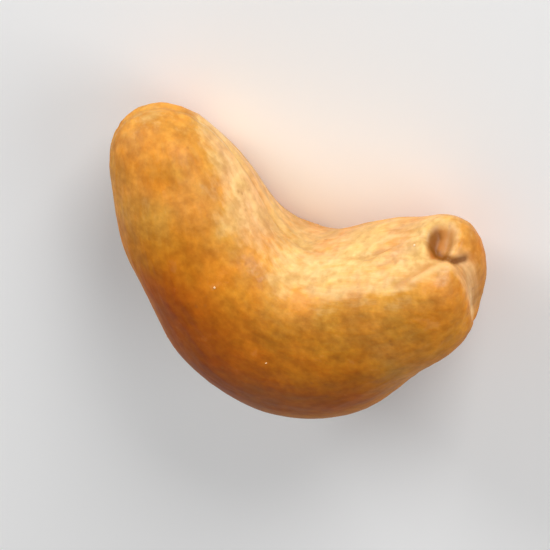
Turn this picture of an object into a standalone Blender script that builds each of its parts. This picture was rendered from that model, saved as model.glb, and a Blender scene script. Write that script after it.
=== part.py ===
"""A roasted cashew kernel, shelled and whole, lying on its broad side.

Units are metres, +Z is up. +X runs along the nut towards the tip with the dimple, and the hollow side
of the crescent faces +Y. The kernel is one grown piece, so it is one closed solid: a curved spine
carries a section that is squarer on the hollow side, and fine relief is raised on that form.

Places along the spine run from -1 at the plain lobe to 1 at the dimpled tip.
"""
import bpy
import bmesh
import numpy as np

MM = 0.001

# Spine: a crescent in the XY plane, its tip lifted and its section turned along the way
SPINE_LENGTH = 30.8 * MM
SPINE_TURN = np.radians(105.5)
BEND_PLACE = -0.03
BEND_SPREAD = 0.42
TIP_LIFT = 1.6 * MM
TWIST = np.radians(24.0)

# Half sizes of the section: at the lobe, at the tip, then the swelling with its place and spread
HOLLOW_SIDE = (4.60 * MM, 4.60 * MM, 0.45 * MM, -0.03, 0.40)
BACK_SIDE = (4.85 * MM, 4.35 * MM, 2.40 * MM, 0.11, 0.30)
BROAD_SIDE = (4.60 * MM, 5.20 * MM, 0.50 * MM, 0.00, 0.40)
HOLLOW_SQUARENESS = 3.0
ROUND_SECTION = 2.0

# Ends: how blunt each end is and how far its face slants
LOBE_BLUNTNESS = 4.2
TIP_BLUNTNESS = 4.9
LOBE_SLANT = 0.25
TIP_SLANT = 0.50

# Seam between the two halves of the kernel: a fine groove between low lips
SEAM_DEPTH = 0.07 * MM
SEAM_HALF_WIDTH = 0.24 * MM
SEAM_LIP = 0.04 * MM
SEAM_LIP_OFFSET = 0.60 * MM
SEAM_LIP_FADE = 0.78
SEAM_LIP_END = 0.86

# Drift of the seam off its plane: on the hollow side (rise, place, spread), and all round over the tip
HOLLOW_DRIFTS = ((1.00 * MM, 0.55, 0.17), (-0.65 * MM, 0.785, 0.09))
TIP_DRIFT = 0.90 * MM
TIP_DRIFT_START = 0.76
TIP_DRIFT_FULL = 0.90

# Cleft: the seam widens into a valley over the tip
CLEFT_DEPTH = 0.42 * MM
CLEFT_HALF_WIDTH = 0.80 * MM
CLEFT_START = 0.90
CLEFT_FULL = 0.96

# Tip: place, height above the seam plane, rise, reach along the nut, reach across the seam, steepness
DIMPLE = (0.873, -0.25 * MM, -0.80 * MM, 0.78 * MM, 1.25 * MM, 1.6)
SADDLE = (0.835, 1.20 * MM, -0.25 * MM, 1.30 * MM, 1.00 * MM, 1.0)
NEAR_PAD = (0.880, 3.20 * MM, 0.22 * MM, 1.60 * MM, 1.00 * MM, 1.0)
FAR_PAD = (0.870, -2.10 * MM, 0.60 * MM, 1.80 * MM, 1.50 * MM, 1.0)
NOTCH = (0.935, 1.20 * MM, -0.30 * MM, 0.50 * MM, 0.40 * MM, 1.0)

# Gentle unevenness of the skin: height and wavelength of three crossing waves
SWELLS = ((0.090 * MM, 9.0 * MM), (0.065 * MM, 6.1 * MM), (0.040 * MM, 4.3 * MM))
SWELL_HEADINGS = ((0.80, 0.50, 0.33), (-0.45, 0.78, 0.43), (0.30, -0.50, 0.81))
SWELL_PHASES = (0.4, 2.1, 4.4)

# Rest: roll towards the hollow side, how far the lowest point is pressed flat, and the run-out round it
REST_ROLL = np.radians(9.0)
FLAT_DEPTH = 0.50 * MM
RUN_OUT = 0.10 * MM

# Grid of the box that is rounded into the kernel
CELLS_ALONG = 60
CELLS_AROUND = 20
BOX_REACH = 0.9
TIP_CROWDING = 0.2
SEAM_CROWDING = 0.6
SPINE_SAMPLES = 401
TINY = 1e-6

SKIN_COLOUR = (0.70, 0.36, 0.105, 1.0)
SKIN_ROUGHNESS = 0.5


def clear_scene():
    for item in list(bpy.data.objects):
        bpy.data.objects.remove(item, do_unlink=True)


def get_points(grid):
    return np.array([v.co for v in grid.verts])


def set_points(grid, points):
    for vertex, point in zip(grid.verts, points):
        vertex.co = point


def box_grid(cells_along, cells_around):
    """A cube with cells_along divisions on its X edges and cells_around on the others."""
    grid = bmesh.new()
    bmesh.ops.create_cube(grid, size=2.0)
    long_edges = [e for e in grid.edges if abs(e.verts[0].co.x - e.verts[1].co.x) > 1.0]
    bmesh.ops.subdivide_edges(grid, edges=long_edges, cuts=cells_along - 1, use_grid_fill=True)
    short_edges = [e for e in grid.edges if abs(e.verts[0].co.x - e.verts[1].co.x) < TINY]
    bmesh.ops.subdivide_edges(grid, edges=short_edges, cuts=cells_around - 1, use_grid_fill=True)
    return grid


def bump(values, middle, spread):
    return np.exp(-(((values - middle) / spread) ** 2))


def ramp(values, start, full):
    """A smooth step from 0 at start to 1 at full."""
    part_way = np.clip((values - start) / (full - start), 0.0, 1.0)
    return part_way * part_way * (3.0 - 2.0 * part_way)


def half_size(side, place):
    """Half size of the section: an even change from lobe to tip, with one swelling."""
    lobe, tip, swelling, middle, spread = side
    return lobe + (tip - lobe) * (place + 1.0) / 2.0 + swelling * bump(place, middle, spread)


def fullness(place):
    """Share of its full half size that the section has, falling to nothing at both ends."""
    bluntness = np.where(place < 0.0, LOBE_BLUNTNESS, TIP_BLUNTNESS)
    return np.sqrt(np.maximum(1.0 - np.abs(place) ** bluntness, 0.0))


def seam_drift(place, side):
    """How far the seam lies above its plane."""
    hollow = ramp(side, 0.0, 1.0)
    drift = TIP_DRIFT * ramp(place, TIP_DRIFT_START, TIP_DRIFT_FULL)
    for rise, middle, spread in HOLLOW_DRIFTS:
        drift = drift + rise * hollow * bump(place, middle, spread)
    return drift


def directions(grid):
    """Unit directions of the grid's corners and their heights off the seam, the grid's middle line."""
    corners = get_points(grid)
    place = BOX_REACH * (corners[:, 0] + TIP_CROWDING * (1.0 - corners[:, 0] ** 2))
    size = half_size(BROAD_SIDE, place) * fullness(place)
    up = corners[:, 2] * (SEAM_CROWDING * corners[:, 2] ** 2 + 1.0 - SEAM_CROWDING)
    drift = seam_drift(place, corners[:, 1]) / size
    corners[:, 0] = place / np.sqrt(1.0 - place ** 2)
    corners[:, 2] = up + drift * (1.0 - up ** 2)
    return corners / np.linalg.norm(corners, axis=1, keepdims=True), up * size


def spine(place):
    """Point and heading of the spine at each place."""
    samples = np.linspace(-1.0, 1.0, SPINE_SAMPLES)
    bend = (samples - BEND_PLACE) / BEND_SPREAD
    heading = SPINE_TURN / 2.0 * bend / (1.0 + bend ** 4) ** 0.25
    step = SPINE_LENGTH / (SPINE_SAMPLES - 1)
    x = np.cumsum(np.cos(heading)) * step
    y = np.cumsum(np.sin(heading)) * step
    z = TIP_LIFT * np.clip(samples, 0.0, 1.0) ** 2
    return tuple(np.interp(place, samples, values) for values in (x, y, z, heading))


def section_way(unit):
    """Way round the section of each direction: towards the hollow side, and up from the seam plane."""
    girth = np.sqrt(np.maximum(1.0 - unit[:, 0] ** 2, 0.0))
    inner = girth > TINY
    side = np.where(inner, unit[:, 1] / np.maximum(girth, TINY), 1.0)
    up = np.where(inner, unit[:, 2] / np.maximum(girth, TINY), 0.0)
    return side, up


def section(unit):
    """Offset of each direction in its section: towards the hollow side, and up from the seam plane."""
    place = unit[:, 0]
    side, up = section_way(unit)
    squareness = ROUND_SECTION + (HOLLOW_SQUARENESS - ROUND_SECTION) * (1.0 - place ** 2)
    power = np.where(side > 0.0, squareness, ROUND_SECTION)
    reach = fullness(place) * (np.abs(side) ** power + np.abs(up) ** power) ** (-1.0 / power)
    half_width = np.where(side > 0.0, half_size(HOLLOW_SIDE, place), half_size(BACK_SIDE, place))
    return reach * half_width * side, reach * half_size(BROAD_SIDE, place) * up


def kernel_form(unit):
    """Smooth form of the kernel, with each point's height above the seam plane."""
    place = unit[:, 0]
    across, height = section(unit)
    x, y, z, heading = spine(place)
    turn = TWIST * place
    level = across * np.cos(turn) - height * np.sin(turn)
    rise = across * np.sin(turn) + height * np.cos(turn)
    slant = np.where(place < 0.0, LOBE_SLANT, TIP_SLANT) * np.abs(place) ** 3 * level
    points = np.column_stack(
        [
            x - np.sin(heading) * level + np.cos(heading) * slant,
            y + np.cos(heading) * level + np.sin(heading) * slant,
            z + rise,
        ]
    )
    return points, height


def seam_relief(place, offset):
    """Groove with a low lip on each side, and the cleft over the tip."""
    lips = bump(offset, SEAM_LIP_OFFSET, SEAM_HALF_WIDTH) + bump(offset, -SEAM_LIP_OFFSET, SEAM_HALF_WIDTH)
    lips = SEAM_LIP * lips * (1.0 - ramp(place, SEAM_LIP_FADE, SEAM_LIP_END))
    groove = SEAM_DEPTH * bump(offset, 0.0, SEAM_HALF_WIDTH)
    cleft = CLEFT_DEPTH * ramp(place, CLEFT_START, CLEFT_FULL) * bump(offset, 0.0, CLEFT_HALF_WIDTH)
    return lips - groove - cleft


def hollow_point(place, height):
    """Point of the smooth form on the hollow side, at a height above the seam plane."""
    up = height / half_size(BROAD_SIDE, place)
    girth = np.sqrt(1.0 - place ** 2)
    unit = np.array([[place, girth * np.sqrt(1.0 - up ** 2), girth * up]])
    return kernel_form(unit)[0]


def oval_relief(points, height, oval):
    """A soft oval rise or pit on the hollow side, with its own reach along and across the seam."""
    place, middle, rise, reach_along, reach_across, steepness = oval
    distance = np.linalg.norm(points - hollow_point(place, middle), axis=1)
    across = height - middle
    along = np.sqrt(np.maximum(distance ** 2 - across ** 2, 0.0))
    return rise * np.exp(-(((along / reach_along) ** 2 + (across / reach_across) ** 2) ** steepness))


def swell_relief(points):
    """Low waves that cross each other, so that no two places are quite alike."""
    total = np.zeros(len(points))
    for (height, wavelength), heading, phase in zip(SWELLS, SWELL_HEADINGS, SWELL_PHASES):
        total += height * np.sin(points @ np.array(heading) * 2.0 * np.pi / wavelength + phase)
    return total


def raise_relief(grid, place, height, offset):
    """Move each corner along its normal by the relief there."""
    grid.normal_update()
    points = get_points(grid)
    normals = np.array([v.normal for v in grid.verts])
    relief = seam_relief(place, offset) + swell_relief(points)
    for oval in (DIMPLE, SADDLE, NEAR_PAD, FAR_PAD, NOTCH):
        relief += oval_relief(points, height, oval)
    set_points(grid, points + normals * relief[:, None])


def settled(points):
    """The kernel rolled a little towards its hollow side, as it lies on a level surface."""
    level = points[:, 1] * np.cos(REST_ROLL) + points[:, 2] * np.sin(REST_ROLL)
    rise = points[:, 2] * np.cos(REST_ROLL) - points[:, 1] * np.sin(REST_ROLL)
    return np.column_stack([points[:, 0], level, rise])


def pressed_flat(points):
    """Set the broad side on the ground, its lowest part pressed flat with an even run-out."""
    height = points[:, 2] - points[:, 2].min() - FLAT_DEPTH
    run_out = np.maximum(height + RUN_OUT, 0.0) ** 2 / (4.0 * RUN_OUT)
    pressed = np.where(height > RUN_OUT, height, run_out)
    return np.column_stack([points[:, :2], pressed])


def centred(points):
    """Put the origin under the middle of the kernel."""
    middle = (points.min(axis=0) + points.max(axis=0)) / 2.0
    return points - np.array([middle[0], middle[1], 0.0])


def skin_material():
    skin = bpy.data.materials.new("roasted_skin")
    skin.use_nodes = True
    shader = skin.node_tree.nodes["Principled BSDF"]
    shader.inputs["Base Color"].default_value = SKIN_COLOUR
    shader.inputs["Roughness"].default_value = SKIN_ROUGHNESS
    shader.inputs["Metallic"].default_value = 0.0
    return skin


def cashew_nut():
    grid = box_grid(CELLS_ALONG, CELLS_AROUND)
    unit, offset = directions(grid)
    points, height = kernel_form(unit)
    set_points(grid, points)
    raise_relief(grid, unit[:, 0], height, offset)
    set_points(grid, centred(pressed_flat(settled(get_points(grid)))))
    bmesh.ops.triangulate(grid, faces=grid.faces[:], quad_method="SHORT_EDGE")
    mesh = bpy.data.meshes.new("cashew_nut")
    grid.to_mesh(mesh)
    grid.free()
    mesh.materials.append(skin_material())
    nut = bpy.data.objects.new("cashew_nut", mesh)
    bpy.context.collection.objects.link(nut)


clear_scene()
cashew_nut()
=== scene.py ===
"""A roasted cashew kernel with its fine skin, a few salt grains, a pale floor and soft studio light.

Units are metres, +Z is up. +X runs along the nut towards the tip with the dimple, and the hollow side
of the crescent faces +Y. Places along the spine run from -1 at the plain lobe to 1 at the dimpled tip.
"""
import bpy
import numpy as np
from mathutils import Matrix, Vector


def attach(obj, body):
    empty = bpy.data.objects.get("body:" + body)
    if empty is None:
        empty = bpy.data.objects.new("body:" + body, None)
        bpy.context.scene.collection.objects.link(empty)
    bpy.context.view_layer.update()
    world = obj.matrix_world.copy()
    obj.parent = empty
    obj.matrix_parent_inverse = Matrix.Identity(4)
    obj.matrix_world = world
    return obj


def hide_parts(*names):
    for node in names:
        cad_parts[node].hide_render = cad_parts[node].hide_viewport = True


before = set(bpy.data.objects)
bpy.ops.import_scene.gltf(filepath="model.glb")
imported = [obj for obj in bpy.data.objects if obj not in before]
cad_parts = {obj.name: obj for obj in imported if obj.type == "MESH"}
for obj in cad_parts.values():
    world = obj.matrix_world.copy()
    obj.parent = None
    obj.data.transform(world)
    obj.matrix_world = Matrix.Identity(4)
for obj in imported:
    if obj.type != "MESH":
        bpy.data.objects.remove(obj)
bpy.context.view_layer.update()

MM = 0.001

# Spine: a crescent in the XY plane, its tip lifted and its section turned along the way
SPINE_LENGTH = 30.8 * MM
SPINE_TURN = np.radians(105.5)
BEND_PLACE = -0.03
BEND_SPREAD = 0.42
TIP_LIFT = 1.6 * MM
TWIST = np.radians(24.0)

# Half sizes of the section: at the lobe, at the tip, then the swelling with its place and spread
HOLLOW_SIDE = (4.60 * MM, 4.60 * MM, 0.45 * MM, -0.03, 0.40)
BACK_SIDE = (4.85 * MM, 4.35 * MM, 2.40 * MM, 0.11, 0.30)
BROAD_SIDE = (4.60 * MM, 5.20 * MM, 0.50 * MM, 0.00, 0.40)
HOLLOW_SQUARENESS = 3.0
ROUND_SECTION = 2.0

# Ends: how blunt each end is and how far its face slants
LOBE_BLUNTNESS = 4.2
TIP_BLUNTNESS = 4.9
LOBE_SLANT = 0.25
TIP_SLANT = 0.50

# Seam between the two halves of the kernel: a fine groove between low lips
SEAM_DEPTH = 0.07 * MM
SEAM_HALF_WIDTH = 0.24 * MM
SEAM_LIP = 0.04 * MM
SEAM_LIP_OFFSET = 0.60 * MM
SEAM_LIP_FADE = 0.78
SEAM_LIP_END = 0.86

# Drift of the seam off its plane: on the hollow side (rise, place, spread), and all round over the tip
HOLLOW_DRIFTS = ((1.00 * MM, 0.55, 0.17), (-0.65 * MM, 0.785, 0.09))
TIP_DRIFT = 0.90 * MM
TIP_DRIFT_START = 0.76
TIP_DRIFT_FULL = 0.90

# Cleft: the seam widens into a valley over the tip
CLEFT_DEPTH = 0.42 * MM
CLEFT_HALF_WIDTH = 0.80 * MM
CLEFT_START = 0.90
CLEFT_FULL = 0.96

# Tip: place, height above the seam plane, rise, reach along the nut, reach across the seam, steepness
DIMPLE = (0.873, -0.25 * MM, -0.80 * MM, 0.78 * MM, 1.25 * MM, 1.6)
SADDLE = (0.835, 1.20 * MM, -0.25 * MM, 1.30 * MM, 1.00 * MM, 1.0)
NEAR_PAD = (0.880, 3.20 * MM, 0.22 * MM, 1.60 * MM, 1.00 * MM, 1.0)
FAR_PAD = (0.870, -2.10 * MM, 0.60 * MM, 1.80 * MM, 1.50 * MM, 1.0)
NOTCH = (0.935, 1.20 * MM, -0.30 * MM, 0.50 * MM, 0.40 * MM, 1.0)

# Gentle unevenness of the skin: height and wavelength of three crossing waves
SWELLS = ((0.090 * MM, 9.0 * MM), (0.065 * MM, 6.1 * MM), (0.040 * MM, 4.3 * MM))
SWELL_HEADINGS = ((0.80, 0.50, 0.33), (-0.45, 0.78, 0.43), (0.30, -0.50, 0.81))
SWELL_PHASES = (0.4, 2.1, 4.4)

# Rest: roll towards the hollow side, how far the lowest point is pressed flat, and the run-out round it
REST_ROLL = np.radians(9.0)
FLAT_DEPTH = 0.50 * MM
RUN_OUT = 0.10 * MM

# Fine lines on the hollow side: (place, height above the seam plane) of their points, half width, rise
FINE_LINES = {
    "dimple_wall": (
        (
            (0.851, -1.05 * MM),
            (0.839, -0.56 * MM),
            (0.838, 0.06 * MM),
            (0.862, 0.56 * MM),
            (0.905, 1.30 * MM),
        ),
        0.32 * MM,
        -0.08 * MM,
    ),
    "notch": (
        ((0.925, 1.55 * MM), (0.945, 1.25 * MM), (0.962, 0.90 * MM)),
        0.25 * MM,
        -0.10 * MM,
    ),
    "pad_crease": (
        ((0.721, 3.15 * MM), (0.763, 3.02 * MM), (0.810, 2.61 * MM), (0.845, 2.05 * MM)),
        0.28 * MM,
        -0.10 * MM,
    ),
    "pad_rim": (
        (
            (0.790, 3.10 * MM),
            (0.820, 2.85 * MM),
            (0.860, 2.42 * MM),
            (0.905, 2.25 * MM),
            (0.935, 2.40 * MM),
        ),
        0.25 * MM,
        0.09 * MM,
    ),
}

# Short creases before the tip: (place, height above the seam plane) of both ends, half width
CREASES = (
    (((0.622, 0.76 * MM), (0.668, 0.50 * MM)), 0.17 * MM),
    (((0.645, 1.77 * MM), (0.692, 1.60 * MM)), 0.16 * MM),
    (((0.585, 1.25 * MM), (0.615, 1.20 * MM)), 0.14 * MM),
    (((0.700, 1.10 * MM), (0.715, 1.65 * MM)), 0.14 * MM),
)
CREASE_DEPTH = 0.05 * MM

# Bruise on the lobe's broad side
BRUISE_PLACE = -0.784
BRUISE_WAY_ROUND = np.radians(96.0)
BRUISE_HALF_WIDTH = 0.75 * MM
BRUISE_DEPTH = 0.06 * MM

# Readings that the mesh keeps on its points, for the relief and the colours to follow
FORM_READINGS = ("along", "hollow", "height", "seam_offset")
MARK_READINGS = ("cleft", "dimple", "creases", "bruise", *FINE_LINES)

# Fine relief: lengthwise wrinkles and dapples, running out just above the ground
WRINKLE_HEIGHT = 0.15 * MM
WRINKLE_SCALE = 1.3
DAPPLE_HEIGHT = 0.11 * MM
DAPPLE_SCALE = 620.0
RELIEF_RUN_OUT = 0.3 * MM

# Lengthwise patterns: how fast they change along the nut and round it, beside their height in millimetres
PATTERN_ALONG = 3.0
PATTERN_ROUND = 4.0

# Toasting mixed with painted light and shade, 0 for pale to 1 for dark: the back and the belly are darkened
# partly as painted shade, and the hollow side is kept pale partly as painted light. Each range: a reading
# from and to, and what it gives at both
SIDE_TOAST_AND_SHADE = (-0.5, 1.0, 0.78, 0.0)
BACK_LOSS = (-1.0, -0.7, 0.50, 0.0)
LOBE_LIMIT = (-0.65, -0.25, 0.25, 1.0)
TIP_LIMIT = (0.25, 0.55, 1.0, 0.34)
# Belly: darkened a little more round this place, partly toasting and partly painted shade
BELLY_PLACE = 0.10
BELLY_TOAST_AND_SHADE = (0.2, 0.6, 0.08, 0.0)
# Crook: a band of painted shade in the bend between the lobe and the arm
CROOK_PLACE = -0.20
CROOK_SHADE = (0.08, 0.32, 0.12, 0.0)
# The hollow side kept pale, partly its own colour and partly painted light
HOLLOW_KEEPS = (0.70, 0.92, 1.0, 0.30)
TIP_TOAST = (0.60, 0.88, 0.0, 0.10)
PATCH_TOAST = 0.10
MOTTLE_TOAST = 0.07
STREAK_TOAST = 0.07
BRUISE_TOAST = 0.2
# Colours from pale to dark: the pale end stands partly for a painted highlight on the hollow side, the
# dark, saturated end partly for painted shade on the belly
TOAST_AND_SHADE_COLOURS = (
    (0.0, (0.70, 0.44, 0.18, 1)),
    (0.08, (0.66, 0.38, 0.13, 1)),
    (0.20, (0.57, 0.26, 0.042, 1)),
    (0.42, (0.54, 0.205, 0.016, 1)),
    (0.60, (0.49, 0.16, 0.008, 1)),
    (0.80, (0.40, 0.105, 0.003, 1)),
    (1.0, (0.33, 0.07, 0.002, 1)),
)

# Noise scales of the skin, and the ranges in which noise is read
PATCH_SCALE = 170.0
HUE_SCALE = 330.0
MOTTLE_SCALE = 700.0
SPECKLE_SCALE = 1900.0
STREAK_SCALE = 2.6
NOISE_RANGE = (0.3, 0.7)
NOISE_MIDDLE = 0.5
CLEAR_RANGE = (0.35, 0.65)
SHARP_RANGE = (0.38, 0.62)

# Tints that the skin's colour is multiplied by, from one to the other
BLOTCH_TINTS = ((0.78, 0.71, 0.60, 1), (1.10, 1.13, 1.18, 1))
SPECKLE_TINTS = ((0.90, 0.85, 0.78, 1), (1.08, 1.11, 1.16, 1))
HUE_TINTS = ((0.99, 1.02, 0.93, 1), (1.02, 0.97, 1.06, 1))

# Seam and fine lines: how strongly their colours show, broken by the streaks in the seam
SEAM_STRENGTH = (0.05, 0.25, 0.4, 0.0)
SEAM_BREAKS = (0.4, 0.6, 0.1, 1.0)
SEAM_COLOUR = (0.44, 0.21, 0.06, 1)
LINE_COLOURS = (
    ("creases", 0.55, (0.46, 0.22, 0.07, 1)),
    # The crease above the near pad: a painted shade line
    ("pad_crease", 0.6, (0.46, 0.19, 0.035, 1)),
    # The near pad's rim: a painted highlight
    ("pad_rim", 0.6, (0.71, 0.42, 0.17, 1)),
)

# Cleft: pale fibres, with an edge that the mottles break
FIBRES_ACROSS = 2.2
FIBRES_ROUND = 0.6
CLEFT_RAGGEDNESS = 0.25
CLEFT_STRENGTH = (0.15, 0.95, 0.0, 0.75)
CLEFT_COLOURS = ((0.46, 0.23, 0.08, 1), (0.78, 0.50, 0.24, 1))

# Dimple: redder on the lobe's side, with a ragged edge, painted shadow on its steep wall and painted shade
# in the dark notch
DIMPLE_TIPWARDS = (0.85, 0.92)
DIMPLE_RAGGEDNESS = 0.12
DIMPLE_STRENGTH = (0.1, 0.6, 0.0, 0.85)
DIMPLE_COLOURS = ((0.42, 0.125, 0.016, 1), (0.39, 0.185, 0.05, 1))
DARK_LINE_STRENGTH = (0.05, 0.8, 0.0, 0.9)
# Painted shadow on the dimple's steep wall, and painted shade in the notch
DIMPLE_WALL_SHADOW = (0.20, 0.065, 0.006, 1)
NOTCH_SHADE = (0.18, 0.06, 0.012, 1)

# Pores: small dark points in scattered patches
PORE_SCALE = 1500.0
PORE_STRENGTH = (0.10, 0.22, 0.35, 0.0)
PORE_PATCH_SCALE = 420.0
PORE_PATCH_RANGE = (0.55, 0.62)
PORE_COLOUR = (0.30, 0.11, 0.02, 1)

# Finish of the skin: duller on the back, with a little light passing through and a fine grit
SKIN_ROUGHNESS = (-0.4, 0.8, 0.56, 0.34)
MOTTLE_ROUGHNESS = 0.05
SKIN_GLOSS = 0.14
GLOW_WEIGHT = 0.15
GLOW_RADIUS = (1.0, 0.45, 0.18)
GLOW_DEPTH = 0.8 * MM
GRIT_SCALE = 5200.0
GRIT_STRENGTH = 0.35
GRIT_HEIGHT = 0.03 * MM

# Salt: grains to a square metre, their radius, seed, growth, turn and look
GRAIN_DENSITY = 15000.0
GRAIN_SIZE = 0.09 * MM
GRAIN_SEED = 4
LEAST_GROWTH = (0.55, 0.55, 0.4)
MOST_GROWTH = (1.25, 1.1, 0.9)
NO_TURN = (0.0, 0.0, 0.0)
FULL_TURN = (2.0 * np.pi, 2.0 * np.pi, 2.0 * np.pi)
CLOUD_SCALE = 6000.0
SALT_COLOURS = ((0.74, 0.50, 0.26, 1), (0.84, 0.64, 0.40, 1))
SALT_ROUGHNESS = 0.6
SALT_GLOSS = 0.2

# Grid of the box that is rounded into the kernel
CELLS_ALONG = 230
CELLS_AROUND = 80
BOX_REACH = 0.9
TIP_CROWDING = 0.2
SEAM_CROWDING = 0.45
SPINE_SAMPLES = 401
TINY = 1e-6

# Share of the full girth below which the hollow side and the back even out, over both ends
END_GIRTH = 0.55

# Floor and lights: each light has its direction from the nut, the width of its square and its power
FLOOR_HALF_WIDTH = 1.0
FLOOR_COLOUR = (0.95, 0.95, 0.95, 1.0)
FLOOR_ROUGHNESS = 0.7
FLOOR_GLOSS = 0.2
LIGHTS = {
    "key": ((0.1, 1.0, 0.35), 0.20, 2.0),
    "left": ((-0.92, 0.45, 0.25), 0.25, 1.7),
    "right": ((1.0, 0.5, 0.5), 0.35, 0.8),
    "back": ((-0.2, -1.0, 0.12), 0.35, 0.4),
}
LIGHT_DISTANCE = 0.5
ROOM_COLOUR = (1.0, 1.0, 1.0, 1.0)
ROOM_STRENGTH = 0.27

# View: the picture's right, up and towards-the-camera directions, with the nut filling most of the frame
VIEW_RIGHT = Vector((0.89322, 0.26271, -0.36490))
VIEW_UP = Vector((-0.43740, 0.69568, -0.56983))
VIEW_BACK = Vector((0.10415, 0.66859, 0.73630))
VIEW_TARGET = Vector((0.0, 0.0, 0.0054))
VIEW_DISTANCE = 0.40
VIEW_WIDTH = 0.034
SENSOR_WIDTH = 36.0
CLIP_START = 0.01


def set_points(mesh, points):
    mesh.vertices.foreach_set("co", points.ravel())
    mesh.update()


def get_normals(mesh):
    normals = np.empty(len(mesh.vertices) * 3)
    mesh.vertices.foreach_get("normal", normals)
    return normals.reshape(-1, 3)


def grid_face(axis, end, cells):
    """Corners and quads of one face of the box, facing out."""
    first, second = (axis + 1) % 3, (axis + 2) % 3
    ticks = [np.linspace(-1.0, 1.0, cells[way] + 1) for way in (first, second)]
    across, upward = np.meshgrid(*ticks, indexing="ij")
    corners = np.empty((across.size, 3))
    corners[:, axis] = end
    corners[:, first] = across.ravel()
    corners[:, second] = upward.ravel()
    number = np.arange(across.size).reshape(across.shape)
    around = [number[:-1, :-1], number[1:, :-1], number[1:, 1:], number[:-1, 1:]]
    quads = np.stack([side.ravel() for side in around], axis=1)
    return corners, quads if end > 0.0 else quads[:, ::-1]


def box_grid(cells_along, cells_around):
    """Corners and quads of a box, cells_along to each of its X edges and cells_around to the others."""
    cells = (cells_along, cells_around, cells_around)
    faces = [grid_face(axis, end, cells) for axis in range(3) for end in (-1.0, 1.0)]
    starts = np.cumsum([0] + [len(corners) for corners, quads in faces[:-1]])
    corners = np.concatenate([corners for corners, quads in faces])
    quads = np.concatenate([quads + start for (_, quads), start in zip(faces, starts)])
    keys = np.round(corners / TINY).astype(np.int64)
    _, kept, number = np.unique(keys, axis=0, return_index=True, return_inverse=True)
    return corners[kept], number.ravel()[quads]


def bump(values, middle, spread):
    return np.exp(-(((values - middle) / spread) ** 2))


def ramp(values, start, full):
    """A smooth step from 0 at start to 1 at full."""
    part_way = np.clip((values - start) / (full - start), 0.0, 1.0)
    return part_way * part_way * (3.0 - 2.0 * part_way)


def half_size(side, place):
    """Half size of the section: an even change from lobe to tip, with one swelling."""
    lobe, tip, swelling, middle, spread = side
    return lobe + (tip - lobe) * (place + 1.0) / 2.0 + swelling * bump(place, middle, spread)


def fullness(place):
    """Share of its full half size that the section has, falling to nothing at both ends."""
    bluntness = np.where(place < 0.0, LOBE_BLUNTNESS, TIP_BLUNTNESS)
    return np.sqrt(np.maximum(1.0 - np.abs(place) ** bluntness, 0.0))


def seam_drift(place, side):
    """How far the seam lies above its plane."""
    hollow = ramp(side, 0.0, 1.0)
    drift = TIP_DRIFT * ramp(place, TIP_DRIFT_START, TIP_DRIFT_FULL)
    for rise, middle, spread in HOLLOW_DRIFTS:
        drift = drift + rise * hollow * bump(place, middle, spread)
    return drift


def directions(corners):
    """Unit directions of the grid's corners and their heights off the seam, the grid's middle line."""
    place = BOX_REACH * (corners[:, 0] + TIP_CROWDING * (1.0 - corners[:, 0] ** 2))
    size = half_size(BROAD_SIDE, place) * fullness(place)
    up = corners[:, 2] * (SEAM_CROWDING * corners[:, 2] ** 2 + 1.0 - SEAM_CROWDING)
    drift = seam_drift(place, corners[:, 1]) / size
    unit = np.column_stack([place / np.sqrt(1.0 - place ** 2), corners[:, 1], up + drift * (1.0 - up ** 2)])
    return unit / np.linalg.norm(unit, axis=1, keepdims=True), up * size


def spine(place):
    """Point and heading of the spine at each place."""
    samples = np.linspace(-1.0, 1.0, SPINE_SAMPLES)
    bend = (samples - BEND_PLACE) / BEND_SPREAD
    heading = SPINE_TURN / 2.0 * bend / (1.0 + bend ** 4) ** 0.25
    step = SPINE_LENGTH / (SPINE_SAMPLES - 1)
    x = np.cumsum(np.cos(heading)) * step
    y = np.cumsum(np.sin(heading)) * step
    z = TIP_LIFT * np.clip(samples, 0.0, 1.0) ** 2
    return tuple(np.interp(place, samples, values) for values in (x, y, z, heading))


def full_girth(unit):
    """Girth of each direction: 1 round the middle of the nut, 0 at the poles of its ends."""
    return np.sqrt(np.maximum(1.0 - unit[:, 0] ** 2, 0.0))


def section_way(unit):
    """Way round the section of each direction: towards the hollow side, and up from the seam plane."""
    girth = full_girth(unit)
    inner = girth > TINY
    side = np.where(inner, unit[:, 1] / np.maximum(girth, TINY), 1.0)
    up = np.where(inner, unit[:, 2] / np.maximum(girth, TINY), 0.0)
    return side, up


def hollow_share(unit):
    """1 on the hollow side to -1 on the back, evening out over both ends."""
    side, _ = section_way(unit)
    return side * ramp(full_girth(unit), 0.0, END_GIRTH)


def section(unit):
    """Offset of each direction in its section: towards the hollow side, and up from the seam plane."""
    place = unit[:, 0]
    side, up = section_way(unit)
    squareness = ROUND_SECTION + (HOLLOW_SQUARENESS - ROUND_SECTION) * (1.0 - place ** 2)
    power = np.where(side > 0.0, squareness, ROUND_SECTION)
    reach = fullness(place) * (np.abs(side) ** power + np.abs(up) ** power) ** (-1.0 / power)
    half_width = np.where(side > 0.0, half_size(HOLLOW_SIDE, place), half_size(BACK_SIDE, place))
    return reach * half_width * side, reach * half_size(BROAD_SIDE, place) * up


def kernel_form(unit):
    """Smooth form of the kernel, with each point's height above the seam plane."""
    place = unit[:, 0]
    across, height = section(unit)
    x, y, z, heading = spine(place)
    turn = TWIST * place
    level = across * np.cos(turn) - height * np.sin(turn)
    rise = across * np.sin(turn) + height * np.cos(turn)
    slant = np.where(place < 0.0, LOBE_SLANT, TIP_SLANT) * np.abs(place) ** 3 * level
    points = np.column_stack(
        [
            x - np.sin(heading) * level + np.cos(heading) * slant,
            y + np.cos(heading) * level + np.sin(heading) * slant,
            z + rise,
        ]
    )
    return points, height


def cleft_shape(place, offset):
    """1 along the bottom of the cleft over the tip, fading to 0 outside it."""
    return ramp(place, CLEFT_START, CLEFT_FULL) * bump(offset, 0.0, CLEFT_HALF_WIDTH)


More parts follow.
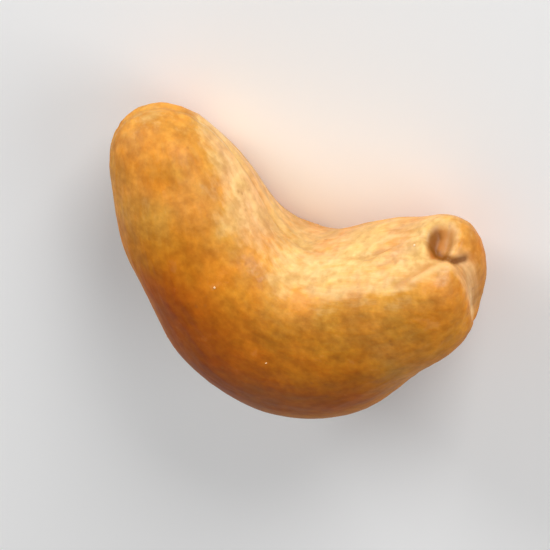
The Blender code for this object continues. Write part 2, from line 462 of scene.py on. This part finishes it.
def seam_relief(place, offset):
    """Groove with a low lip on each side, and the cleft over the tip."""
    lips = bump(offset, SEAM_LIP_OFFSET, SEAM_HALF_WIDTH) + bump(offset, -SEAM_LIP_OFFSET, SEAM_HALF_WIDTH)
    lips = SEAM_LIP * lips * (1.0 - ramp(place, SEAM_LIP_FADE, SEAM_LIP_END))
    groove = SEAM_DEPTH * bump(offset, 0.0, SEAM_HALF_WIDTH)
    return lips - groove - CLEFT_DEPTH * cleft_shape(place, offset)


def form_point(place, side, up):
    """Point of the smooth form at a place, side towards the hollow and up from the seam plane."""
    girth = np.sqrt(1.0 - place ** 2)
    points, _ = kernel_form(np.array([[place, girth * side, girth * up]]))
    return points[0]


def hollow_point(place, height):
    """Point of the smooth form on the hollow side, at a height above the seam plane."""
    up = height / half_size(BROAD_SIDE, place)
    return form_point(place, np.sqrt(1.0 - up ** 2), up)


def oval_shape(points, height, oval):
    """1 at the middle of a soft oval on the hollow side, fading to 0 outside it."""
    place, middle, _, reach_along, reach_across, steepness = oval
    distance = np.linalg.norm(points - hollow_point(place, middle), axis=1)
    across = height - middle
    along = np.sqrt(np.maximum(distance ** 2 - across ** 2, 0.0))
    return np.exp(-(((along / reach_along) ** 2 + (across / reach_across) ** 2) ** steepness))


def line_shape(points, marks, half_width):
    """1 along a fine line on the hollow side, fading to 0 on both sides of it."""
    corners = [hollow_point(place, height) for place, height in marks]
    nearest = np.full(len(points), np.inf)
    for start, end in zip(corners[:-1], corners[1:]):
        way = end - start
        share = np.clip((points - start) @ way / (way @ way), 0.0, 1.0)
        nearest = np.minimum(nearest, np.linalg.norm(points - start - share[:, None] * way, axis=1))
    return bump(nearest, 0.0, half_width)


def bruise_shape(points):
    """1 at the middle of the bruise, fading to 0 outside it."""
    middle = form_point(BRUISE_PLACE, np.cos(BRUISE_WAY_ROUND), np.sin(BRUISE_WAY_ROUND))
    return bump(np.linalg.norm(points - middle, axis=1), 0.0, BRUISE_HALF_WIDTH)


def swell_relief(points):
    """Low waves that cross each other, so that no two places are quite alike."""
    total = np.zeros(len(points))
    for (height, wavelength), heading, phase in zip(SWELLS, SWELL_HEADINGS, SWELL_PHASES):
        total += height * np.sin(points @ np.array(heading) * 2.0 * np.pi / wavelength + phase)
    return total


def skin_readings(unit, offset, points, height):
    """What the relief and the colours follow: where each point lies on the kernel and in its marks."""
    readings = {
        "along": unit[:, 0],
        "hollow": hollow_share(unit),
        "height": height / MM,
        "seam_offset": offset / MM,
        "cleft": cleft_shape(unit[:, 0], offset),
        "dimple": oval_shape(points, height, DIMPLE),
        "creases": np.max([line_shape(points, *crease) for crease in CREASES], axis=0),
        "bruise": bruise_shape(points),
    }
    for name, (marks, half_width, _) in FINE_LINES.items():
        readings[name] = line_shape(points, marks, half_width)
    return readings


def kernel_relief(unit, offset, points, height, readings):
    """How far the kernel stands out from its smooth form at each point."""
    relief = seam_relief(unit[:, 0], offset) + swell_relief(points)
    for oval in (DIMPLE, SADDLE, NEAR_PAD, FAR_PAD, NOTCH):
        _, _, rise, *_ = oval
        relief += rise * oval_shape(points, height, oval)
    for name, (_, _, rise) in FINE_LINES.items():
        relief += rise * readings[name]
    return relief - CREASE_DEPTH * readings["creases"] - BRUISE_DEPTH * readings["bruise"]


def settled(points):
    """The kernel rolled a little towards its hollow side, as it lies on a level surface."""
    level = points[:, 1] * np.cos(REST_ROLL) + points[:, 2] * np.sin(REST_ROLL)
    rise = points[:, 2] * np.cos(REST_ROLL) - points[:, 1] * np.sin(REST_ROLL)
    return np.column_stack([points[:, 0], level, rise])


def pressed_flat(points):
    """Set the broad side on the ground, its lowest part pressed flat with an even run-out."""
    height = points[:, 2] - points[:, 2].min() - FLAT_DEPTH
    run_out = np.maximum(height + RUN_OUT, 0.0) ** 2 / (4.0 * RUN_OUT)
    pressed = np.where(height > RUN_OUT, height, run_out)
    return np.column_stack([points[:, :2], pressed])


def centred(points):
    """Put the origin under the middle of the kernel."""
    middle = (points.min(axis=0) + points.max(axis=0)) / 2.0
    return points - np.array([middle[0], middle[1], 0.0])


def keep_on_points(mesh, name, values):
    layer = mesh.attributes.new(name, "FLOAT", "POINT")
    layer.data.foreach_set("value", values.astype(np.float32))


def link_object(name, data):
    item = bpy.data.objects.new(name, data)
    bpy.context.scene.collection.objects.link(item)
    return item


def make_kernel_mesh():
    """Closed mesh of the kernel, which keeps the readings on its points."""
    corners, quads = box_grid(CELLS_ALONG, CELLS_AROUND)
    unit, offset = directions(corners)
    points, height = kernel_form(unit)
    mesh = bpy.data.meshes.new("cashew_skin")
    mesh.from_pydata(points.tolist(), [], quads.tolist())
    mesh.update()
    readings = skin_readings(unit, offset, points, height)
    relief = kernel_relief(unit, offset, points, height, readings)
    set_points(mesh, centred(pressed_flat(settled(points + get_normals(mesh) * relief[:, None]))))
    for name, values in readings.items():
        keep_on_points(mesh, name, values)
    mesh.shade_smooth()
    return mesh


class Tree:
    """A node tree with short calls for adding and joining nodes."""

    def __init__(self, tree):
        self.tree = tree

    def feed(self, socket, value):
        """Join another node's output to the socket, or set a plain value on it."""
        if isinstance(value, bpy.types.NodeSocket):
            self.tree.links.new(value, socket)
        else:
            socket.default_value = value

    def feed_all(self, node, inputs):
        for name, value in inputs.items():
            self.feed(node.inputs[name], value)

    def add(self, kind, inputs=None, **settings):
        """A new node with those settings and inputs."""
        node = self.tree.nodes.new(kind)
        for name, value in settings.items():
            setattr(node, name, value)
        self.feed_all(node, inputs or {})
        return node

    def math(self, operation, first, second=0.0):
        return self.add("ShaderNodeMath", {0: first, 1: second}, operation=operation).outputs[0]

    def scaled(self, value, low, high, out_low=0.0, out_high=1.0):
        """value carried evenly from low..high to out_low..out_high, and held at the ends."""
        inputs = {"Value": value, 1: low, 2: high, 3: out_low, 4: out_high}
        return self.add("ShaderNodeMapRange", inputs, clamp=True).outputs[0]

    def swing(self, noise, reach):
        """Noise carried to -reach..reach."""
        return self.scaled(noise, *NOISE_RANGE, -reach, reach)

    def vector(self, x, y, z=0.0):
        return self.add("ShaderNodeCombineXYZ", {0: x, 1: y, 2: z}).outputs[0]

    def noise(self, vector, scale, detail=2.0, roughness=0.5):
        inputs = {"Vector": vector, "Scale": scale, "Detail": detail, "Roughness": roughness}
        return self.add("ShaderNodeTexNoise", inputs, noise_dimensions="3D").outputs[0]

    def chance(self, least, most, seed):
        """A random vector between two others."""
        inputs = {0: least, 1: most, "Seed": seed}
        return self.add("FunctionNodeRandomValue", inputs, data_type="FLOAT_VECTOR").outputs[0]

    def colour_ramp(self, amount, marks):
        """A colour ramp with marks of (place, colour)."""
        node = self.add("ShaderNodeValToRGB", {"Fac": amount})
        ends = node.color_ramp.elements
        while len(ends) < len(marks):
            ends.new(0.5)
        for end, (place, colour) in zip(ends, marks):
            end.position = place
            end.color = colour
        return node.outputs[0]

    def mix(self, amount, first, second, blend_type="MIX"):
        """Mix of two colours, which are sockets 6 and 7 of the node and its output 2."""
        inputs = {0: amount, 6: first, 7: second}
        settings = {"data_type": "RGBA", "blend_type": blend_type, "clamp_factor": True}
        return self.add("ShaderNodeMix", inputs, **settings).outputs[2]

    def tinted(self, colour, pattern, tints, limits):
        """colour multiplied by a tint that goes from one to the other with the pattern."""
        tint = self.mix(self.scaled(pattern, *limits), *tints)
        return self.mix(1.0, colour, tint, blend_type="MULTIPLY")

    def finish_shader(self, inputs):
        self.feed_all(self.tree.nodes["Principled BSDF"], inputs)

    def finish_geometry(self, geometry, material):
        real = self.add("GeometryNodeRealizeInstances", {"Geometry": geometry})
        inputs = {"Geometry": real.outputs[0], "Material": material}
        self.add("NodeGroupOutput", {"Geometry": self.add("GeometryNodeSetMaterial", inputs).outputs[0]})


def lengthwise(tree, read):
    """Pattern coordinates that are drawn out along the nut."""
    along = tree.math("MULTIPLY", read["along"], PATTERN_ALONG)
    way_round = tree.math("MULTIPLY", read["hollow"], PATTERN_ROUND)
    return tree.vector(along, read["height"], way_round)


def geometry_group(name, inputs):
    """A geometry node group that takes a mesh and the named inputs, and gives a mesh."""
    group = bpy.data.node_groups.new(name, "GeometryNodeTree")
    for label, kind in {"Geometry": "Geometry", **inputs}.items():
        group.interface.new_socket(label, in_out="INPUT", socket_type="NodeSocket" + kind)
    group.interface.new_socket("Geometry", in_out="OUTPUT", socket_type="NodeSocketGeometry")
    return group


def relief_tree():
    """Geometry nodes that raise the skin's lengthwise wrinkles and fine dapples."""
    sizes = dict.fromkeys(("Wrinkle Height", "Wrinkle Scale", "Dapple Height", "Dapple Scale"), "Float")
    group = geometry_group("skin_relief", {**sizes, "Skin": "Material"})
    tree = Tree(group)
    given = tree.add("NodeGroupInput").outputs
    read = {}
    for name in ("along", "hollow", "height"):
        reading = tree.add("GeometryNodeInputNamedAttribute", {"Name": name}, data_type="FLOAT")
        read[name] = reading.outputs[0]
    wrinkles = tree.noise(lengthwise(tree, read), given["Wrinkle Scale"], detail=3.0)
    wrinkles = tree.math("MULTIPLY", tree.math("SUBTRACT", wrinkles, NOISE_MIDDLE), given["Wrinkle Height"])
    where = tree.add("GeometryNodeInputPosition").outputs[0]
    dapples = tree.noise(where, given["Dapple Scale"], detail=3.0, roughness=0.6)
    dapples = tree.math("MULTIPLY", tree.math("SUBTRACT", dapples, NOISE_MIDDLE), given["Dapple Height"])
    above_ground = tree.add("ShaderNodeSeparateXYZ", {0: where}).outputs[2]
    above_ground = tree.scaled(above_ground, 0.0, RELIEF_RUN_OUT)
    height = tree.math("MULTIPLY", tree.math("ADD", wrinkles, dapples), above_ground)
    normal = tree.add("GeometryNodeInputNormal").outputs[0]
    offset = tree.add("ShaderNodeVectorMath", {0: normal, "Scale": height}, operation="SCALE").outputs[0]
    raised = tree.add("GeometryNodeSetPosition", {"Geometry": given["Geometry"], "Offset": offset})
    tree.finish_geometry(raised.outputs[0], given["Skin"])
    return group


def grain_tree():
    """Geometry nodes that scatter small salt grains over a surface."""
    inputs = {"Density": "Float", "Grain Size": "Float", "Seed": "Int", "Salt": "Material"}
    group = geometry_group("salt_scatter", inputs)
    tree = Tree(group)
    given = tree.add("NodeGroupInput").outputs
    spots = tree.add(
        "GeometryNodeDistributePointsOnFaces",
        {"Mesh": given["Geometry"], "Density": given["Density"], "Seed": given["Seed"]},
        distribute_method="RANDOM",
    )
    grain = tree.add("GeometryNodeMeshIcoSphere", {"Radius": given["Grain Size"], "Subdivisions": 1})
    grains = tree.add(
        "GeometryNodeInstanceOnPoints",
        {
            "Points": spots.outputs["Points"],
            "Instance": grain.outputs["Mesh"],
            "Rotation": tree.chance(NO_TURN, FULL_TURN, given["Seed"]),
            "Scale": tree.chance(LEAST_GROWTH, MOST_GROWTH, given["Seed"]),
        },
    )
    tree.finish_geometry(grains.outputs[0], given["Salt"])
    return group


def grown_mesh(name, mesh, group, sizes):
    """The plain mesh that a geometry tree makes of mesh with those sizes."""
    item = link_object(name + "_base", mesh)
    grow = item.modifiers.new("grow", "NODES")
    grow.node_group = group
    for socket in group.interface.items_tree:
        if socket.in_out == "INPUT" and socket.name in sizes:
            grow[socket.identifier] = sizes[socket.name]
    graph = bpy.context.evaluated_depsgraph_get()
    made = bpy.data.meshes.new_from_object(item.evaluated_get(graph))
    made.name = name
    bpy.data.objects.remove(item, do_unlink=True)
    return made


def new_material(name):
    material = bpy.data.materials.new(name)
    material.use_nodes = True
    return material, Tree(material.node_tree)


def toast_and_shade_amount(tree, read, patches, mottles, streaks):
    """How dark the skin is made, toasting mixed with painted light and shade: most on the belly, less on
    the back, the lobe, the tip and in the hollow. The belly's darkening is partly painted shade, the
    crook's is painted shade, and the pale hollow is partly painted light.
    """
    off_belly = tree.math("ABSOLUTE", tree.math("SUBTRACT", read["along"], BELLY_PLACE))
    off_crook = tree.math("ABSOLUTE", tree.math("SUBTRACT", read["along"], CROOK_PLACE))
    # Pale on the hollow side, partly painted light, and darker towards the back, partly toasting and partly
    # painted shade
    toast_and_shade = tree.scaled(read["hollow"], *SIDE_TOAST_AND_SHADE)
    toast_and_shade = tree.math("SUBTRACT", toast_and_shade, tree.scaled(read["hollow"], *BACK_LOSS))
    toast_and_shade = tree.math("MINIMUM", toast_and_shade, tree.scaled(read["along"], *LOBE_LIMIT))
    toast_and_shade = tree.math("MINIMUM", toast_and_shade, tree.scaled(read["along"], *TIP_LIMIT))
    # More darkening on the belly, partly toasting and partly painted shade
    toast_and_shade = tree.math("ADD", toast_and_shade, tree.scaled(off_belly, *BELLY_TOAST_AND_SHADE))
    # Painted shade in the crook of the bend
    toast_and_shade = tree.math("ADD", toast_and_shade, tree.scaled(off_crook, *CROOK_SHADE))
    # The hollow side kept pale, partly as painted light
    toast_and_shade = tree.math("MULTIPLY", toast_and_shade, tree.scaled(read["hollow"], *HOLLOW_KEEPS))
    toast_and_shade = tree.math("ADD", toast_and_shade, tree.scaled(read["along"], *TIP_TOAST))
    toast_and_shade = tree.math("ADD", toast_and_shade, tree.swing(patches, PATCH_TOAST))
    toast_and_shade = tree.math("ADD", toast_and_shade, tree.swing(mottles, MOTTLE_TOAST))
    toast_and_shade = tree.math("ADD", toast_and_shade, tree.swing(streaks, STREAK_TOAST))
    return tree.math("ADD", toast_and_shade, tree.math("MULTIPLY", read["bruise"], BRUISE_TOAST))


def add_mottling(tree, colour, where, mottles):
    """colour with blotches, speckles and a slight change of hue."""
    colour = tree.tinted(colour, mottles, BLOTCH_TINTS, CLEAR_RANGE)
    colour = tree.tinted(colour, tree.noise(where, SPECKLE_SCALE, detail=3.0), SPECKLE_TINTS, CLEAR_RANGE)
    return tree.tinted(colour, tree.noise(where, HUE_SCALE, detail=3.0), HUE_TINTS, SHARP_RANGE)


def add_lines(tree, colour, read, streaks):
    """colour with the seam, the creases, painted shade along the crease above the pad and a painted
    highlight on the pad's rim.
    """
    in_seam = tree.scaled(tree.math("ABSOLUTE", read["seam_offset"]), *SEAM_STRENGTH)
    in_seam = tree.math("MULTIPLY", in_seam, tree.scaled(streaks, *SEAM_BREAKS))
    colour = tree.mix(in_seam, colour, SEAM_COLOUR)
    # The pad's crease gets painted shade and its rim a painted highlight
    for name, strength, line_colour in LINE_COLOURS:
        colour = tree.mix(tree.math("MULTIPLY", read[name], strength), colour, line_colour)
    return colour


def add_cleft(tree, colour, read, mottles):
    """colour with the pale fibres in the cleft."""
    across = tree.math("MULTIPLY", read["seam_offset"], FIBRES_ACROSS)
    way_round = tree.math("MULTIPLY", read["hollow"], FIBRES_ROUND)
    fibres = tree.noise(tree.vector(across, way_round), 1.0, detail=3.0)
    cleft_colour = tree.mix(tree.scaled(fibres, *SHARP_RANGE), *CLEFT_COLOURS)
    in_cleft = tree.math("ADD", read["cleft"], tree.swing(mottles, CLEFT_RAGGEDNESS))
    return tree.mix(tree.scaled(in_cleft, *CLEFT_STRENGTH), colour, cleft_colour)


def add_dimple(tree, colour, read, mottles):
    """colour with the brown dimple, painted shadow on its wall and painted shade in the notch beside it."""
    dimple_colour = tree.mix(tree.scaled(read["along"], *DIMPLE_TIPWARDS), *DIMPLE_COLOURS)
    in_dimple = tree.math("ADD", read["dimple"], tree.swing(mottles, DIMPLE_RAGGEDNESS))
    colour = tree.mix(tree.scaled(in_dimple, *DIMPLE_STRENGTH), colour, dimple_colour)
    # Painted shadow on the dimple's wall
    colour = tree.mix(tree.scaled(read["dimple_wall"], *DARK_LINE_STRENGTH), colour, DIMPLE_WALL_SHADOW)
    # Painted shade in the notch
    return tree.mix(tree.scaled(read["notch"], *DARK_LINE_STRENGTH), colour, NOTCH_SHADE)


def add_pores(tree, colour, where):
    """colour with small dark pores in scattered patches."""
    cells = tree.add("ShaderNodeTexVoronoi", {"Vector": where, "Scale": PORE_SCALE}, feature="F1")
    pores = tree.scaled(cells.outputs["Distance"], *PORE_STRENGTH)
    patches = tree.scaled(tree.noise(where, PORE_PATCH_SCALE), *PORE_PATCH_RANGE)
    return tree.mix(tree.math("MULTIPLY", pores, patches), colour, PORE_COLOUR)


def roasted_skin():
    """Golden roasted skin: brown on the belly, partly painted shade; pale in the hollow, partly painted
    light; dark in the dimple, with painted shadow on its wall and in its notch, and a painted highlight on
    the pad's rim.
    """
    skin, tree = new_material("roasted_skin")
    where = tree.add("ShaderNodeTexCoord").outputs["Object"]
    read = {}
    for name in FORM_READINGS + MARK_READINGS:
        read[name] = tree.add("ShaderNodeAttribute", attribute_name=name).outputs["Fac"]
    patches = tree.noise(where, PATCH_SCALE, detail=3.0)
    mottles = tree.noise(where, MOTTLE_SCALE, detail=4.0, roughness=0.6)
    streaks = tree.noise(lengthwise(tree, read), STREAK_SCALE, detail=4.0, roughness=0.6)
    colour = tree.colour_ramp(toast_and_shade_amount(tree, read, patches, mottles, streaks), TOAST_AND_SHADE_COLOURS)
    colour = add_mottling(tree, colour, where, mottles)
    colour = add_lines(tree, colour, read, streaks)
    colour = add_cleft(tree, colour, read, mottles)
    colour = add_dimple(tree, colour, read, mottles)
    colour = add_pores(tree, colour, where)
    roughness = tree.scaled(read["hollow"], *SKIN_ROUGHNESS)
    grit = tree.noise(where, GRIT_SCALE, detail=3.0, roughness=0.6)
    bumps = tree.add("ShaderNodeBump", {"Strength": GRIT_STRENGTH, "Distance": GRIT_HEIGHT, "Height": grit})
    tree.finish_shader(
        {
            "Base Color": colour,
            "Roughness": tree.math("ADD", roughness, tree.swing(mottles, MOTTLE_ROUGHNESS)),
            "Specular IOR Level": SKIN_GLOSS,
            "Subsurface Weight": GLOW_WEIGHT,
            "Subsurface Radius": GLOW_RADIUS,
            "Subsurface Scale": GLOW_DEPTH,
            "Normal": bumps.outputs[0],
        }
    )
    return skin


def salt():
    """Matt, slightly cloudy grains that have taken on the colour of the skin."""
    grains, tree = new_material("salt")
    cloud = tree.noise(tree.add("ShaderNodeTexCoord").outputs["Object"], CLOUD_SCALE)
    tree.finish_shader(
        {
            "Base Color": tree.mix(tree.scaled(cloud, *NOISE_RANGE), *SALT_COLOURS),
            "Roughness": SALT_ROUGHNESS,
            "Specular IOR Level": SALT_GLOSS,
        }
    )
    return grains


def cashew_nut():
    mesh = grown_mesh(
        "cashew_skin",
        make_kernel_mesh(),
        relief_tree(),
        {
            "Wrinkle Height": WRINKLE_HEIGHT,
            "Wrinkle Scale": WRINKLE_SCALE,
            "Dapple Height": DAPPLE_HEIGHT,
            "Dapple Scale": DAPPLE_SCALE,
            "Skin": roasted_skin(),
        },
    )
    nut = link_object("cashew_skin", mesh)
    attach(nut, "root")
    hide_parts("cashew_nut")
    return nut


def salt_grains(nut):
    mesh = grown_mesh(
        "salt_grains",
        nut.data.copy(),
        grain_tree(),
        {"Density": GRAIN_DENSITY, "Grain Size": GRAIN_SIZE, "Seed": GRAIN_SEED, "Salt": salt()},
    )
    grains = link_object("salt_grains", mesh)
    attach(grains, "root")


def pale_floor():
    paint, tree = new_material("pale_floor")
    tree.finish_shader(
        {"Base Color": FLOOR_COLOUR, "Roughness": FLOOR_ROUGHNESS, "Specular IOR Level": FLOOR_GLOSS}
    )
    half = FLOOR_HALF_WIDTH
    corners = [(-half, -half, 0.0), (half, -half, 0.0), (half, half, 0.0), (-half, half, 0.0)]
    mesh = bpy.data.meshes.new("floor")
    mesh.from_pydata(corners, [], [(0, 1, 2, 3)])
    mesh.materials.append(paint)
    link_object("floor", mesh)


def soft_light(name, towards, size, power):
    """A square light, out from the nut in the direction towards, aimed at the nut."""
    lamp = bpy.data.lights.new(name, "AREA")
    lamp.size = size
    lamp.energy = power
    item = link_object(name, lamp)
    way = Vector(towards).normalized()
    item.location = VIEW_TARGET + way * LIGHT_DISTANCE
    item.rotation_euler = way.to_track_quat("Z", "Y").to_euler()


def pale_room():
    """Even light from all round."""
    world = bpy.data.worlds.new("pale_room")
    world.use_nodes = True
    sky = world.node_tree.nodes["Background"]
    sky.inputs["Color"].default_value = ROOM_COLOUR
    sky.inputs["Strength"].default_value = ROOM_STRENGTH
    bpy.context.scene.world = world


def studio_light():
    for name, light in LIGHTS.items():
        soft_light(name, *light)
    pale_room()


def photo_camera():
    lens = bpy.data.cameras.new("photo_camera")
    lens.sensor_width = SENSOR_WIDTH
    lens.lens = SENSOR_WIDTH * VIEW_DISTANCE / VIEW_WIDTH
    lens.clip_start = CLIP_START
    camera = link_object("photo_camera", lens)
    turn = Matrix((VIEW_RIGHT, VIEW_UP, VIEW_BACK)).transposed()
    camera.matrix_world = Matrix.Translation(VIEW_TARGET + VIEW_BACK * VIEW_DISTANCE) @ turn.to_4x4()
    bpy.context.scene.camera = camera


photo_camera()
studio_light()
pale_floor()
salt_grains(cashew_nut())
bpy.context.scene.view_settings.view_transform = "Standard"
